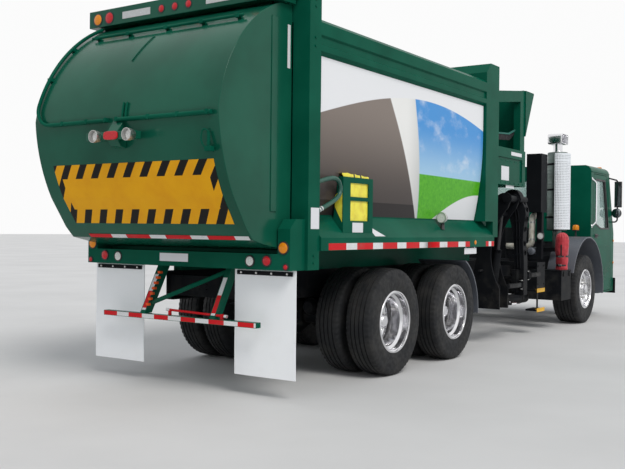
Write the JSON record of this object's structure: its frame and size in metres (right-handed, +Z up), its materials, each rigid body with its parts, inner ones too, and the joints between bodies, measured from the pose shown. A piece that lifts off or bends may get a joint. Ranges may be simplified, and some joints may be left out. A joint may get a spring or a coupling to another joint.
{
  "type": "side-loading refuse truck",
  "caption": "Cab-forward refuse truck with a curved-wall load body, bulged lifting tailgate, side-fed hopper and a folding side arm on tandem rear axles.",
  "frame": {"origin": "on the ground below the middle of the truck's box", "axes": "+X forward, +Y left, +Z up; wheels turn about Y"},
  "size_m": [10.65, 2.62, 3.4498],
  "materials": {
    "green_paint": "glossy dark green",
    "black_paint": "semi-gloss black",
    "tyre": "matt",
    "polished": "polished",
    "packer_steel": "worn",
    "flap_white": "matt white",
    "fender_plastic": "satin dark grey",
    "exhaust_steel": "dull",
    "shield_steel": "light grey",
    "yellow_bag": "woven yellow",
    "hose_green": "green hose",
    "red_cover": "red coated cloth",
    "pipe_cream": "pale silicone",
    "glass": "clear",
    "trim_grey": "grained",
    "lens_red": "clear red",
    "lens_amber": "clear amber",
    "lens_clear": "clear"
  },
  "bodies": {
    "chassis": {"body_floor": "green_paint", "body_wall_right": "green_paint", "body_wall_left": "green_paint", "body_roof": "green_paint", "rear_frame": "green_paint", "bulkhead": "green_paint", "hopper": "green_paint", "kit_holder": "green_paint", "cab_sides": "green_paint", "cab_roof": "green_paint", "cab_floor": "green_paint", "cab_front": "green_paint", "front_bumper": "green_paint", "frame_rails": "black_paint", "front_axle": "black_paint", "rear_axles": "black_paint", "engine": "black_paint", "rear_bumper": "black_paint", "quarter_fenders": "black_paint", "fuel_tank_and_battery_box": "black_paint", "air_cleaner": "black_paint", "mirrors": "black_paint", "access_steps": "black_paint", "mudflaps": "flap_white", "front_fenders": "fender_plastic", "exhaust": "exhaust_steel", "hose_loop": "hose_green", "extinguisher": "red_cover", "intake_pipe": "pipe_cream", "heat_shield": "shield_steel", "kit_bags": "yellow_bag", "cab_glass": "glass", "cab_interior": "trim_grey", "lamps_red": "lens_red", "lamps_amber": "lens_amber", "lamps_clear": "lens_clear"},
    "knuckle_left": {"knuckle_left": "black_paint"},
    "knuckle_right": {"knuckle_right": "black_paint"},
    "wheel_front_left": {"tyre_front_left": "tyre", "rim_front_left": "polished"},
    "wheel_front_right": {"tyre_front_right": "tyre", "rim_front_right": "polished"},
    "door_left": {"door_left": "green_paint", "glass_left": "glass"},
    "door_right": {"door_right": "green_paint", "glass_right": "glass"},
    "tailgate": {"tailgate": "green_paint"},
    "packer": {"packer": "packer_steel"},
    "arm_carriage": {"arm_carriage": "black_paint"},
    "arm_boom": {"arm_boom": "black_paint"},
    "finger_rear": {"finger_rear": "black_paint"},
    "finger_front": {"finger_front": "black_paint"},
    "wheels_rear_left": {"tyres_rear_left": "tyre", "rims_rear_left": "polished"},
    "wheels_rear_right": {"tyres_rear_right": "tyre", "rims_rear_right": "polished"},
    "wheels_middle_left": {"tyres_middle_left": "tyre", "rims_middle_left": "polished"},
    "wheels_middle_right": {"tyres_middle_right": "tyre", "rims_middle_right": "polished"}
  },
  "joints": [
    {"name": "steer_left", "type": "hinge", "parent": "chassis", "child": "knuckle_left", "pos_m": [3.549, 0.88, 0.535], "axis": [0, 0, 1], "range_deg": [-32, 32]},
    {"name": "spin_front_left", "type": "hinge", "parent": "knuckle_left", "child": "wheel_front_left", "pos_m": [3.549, 1.0075, 0.535], "axis": [0, 1, 0], "continuous": true},
    {"name": "open_door_left", "type": "hinge", "parent": "chassis", "child": "door_left", "pos_m": [5.059, 1.15, 1.3], "axis": [0, 0, -1], "range_deg": [0, 75]},
    {"name": "spin_rear_left", "type": "hinge", "parent": "chassis", "child": "wheels_rear_left", "pos_m": [-2.635, 0.8925, 0.525], "axis": [0, 1, 0], "continuous": true},
    {"name": "spin_middle_left", "type": "hinge", "parent": "chassis", "child": "wheels_middle_left", "pos_m": [-1.263, 0.8925, 0.525], "axis": [0, 1, 0], "continuous": true},
    {"name": "steer_right", "type": "hinge", "parent": "chassis", "child": "knuckle_right", "pos_m": [3.549, -0.88, 0.535], "axis": [0, 0, 1], "range_deg": [-32, 32]},
    {"name": "spin_front_right", "type": "hinge", "parent": "knuckle_right", "child": "wheel_front_right", "pos_m": [3.549, -1.0075, 0.535], "axis": [0, 1, 0], "continuous": true},
    {"name": "open_door_right", "type": "hinge", "parent": "chassis", "child": "door_right", "pos_m": [5.059, -1.15, 1.3], "axis": [0, 0, 1], "range_deg": [0, 75]},
    {"name": "spin_rear_right", "type": "hinge", "parent": "chassis", "child": "wheels_rear_right", "pos_m": [-2.635, -0.8925, 0.525], "axis": [0, 1, 0], "continuous": true},
    {"name": "spin_middle_right", "type": "hinge", "parent": "chassis", "child": "wheels_middle_right", "pos_m": [-1.263, -0.8925, 0.525], "axis": [0, 1, 0], "continuous": true},
    {"name": "lift_tailgate", "type": "hinge", "parent": "chassis", "child": "tailgate", "pos_m": [-4.235, 0, 3.42], "axis": [0, 1, 0], "range_deg": [0, 85]},
    {"name": "pack", "type": "slide", "parent": "chassis", "child": "packer", "axis": [-1, 0, 0], "range_m": [0, 1.2]},
    {"name": "reach_arm", "type": "slide", "parent": "chassis", "child": "arm_carriage", "axis": [0, -1, 0], "range_m": [0, 1.1]},
    {"name": "lift_arm", "type": "hinge", "parent": "arm_carriage", "child": "arm_boom", "pos_m": [0.365, -1.205, 1.83], "axis": [-1, 0, 0], "range_deg": [0, 150]},
    {"name": "grip_rear", "type": "hinge", "parent": "arm_boom", "child": "finger_rear", "pos_m": [0.615, -1.245, 0.74], "axis": [0, 0, 1], "range_deg": [0, 80]},
    {"name": "grip_front", "type": "hinge", "parent": "arm_boom", "child": "finger_front", "pos_m": [0.845, -1.245, 0.85], "axis": [0, 0, -1], "range_deg": [0, 80]}
  ],
  "couplings": [
    {"joint": "steer_right", "follows": "steer_left", "ratio": 1},
    {"joint": "grip_front", "follows": "grip_rear", "ratio": 1}
  ]
}
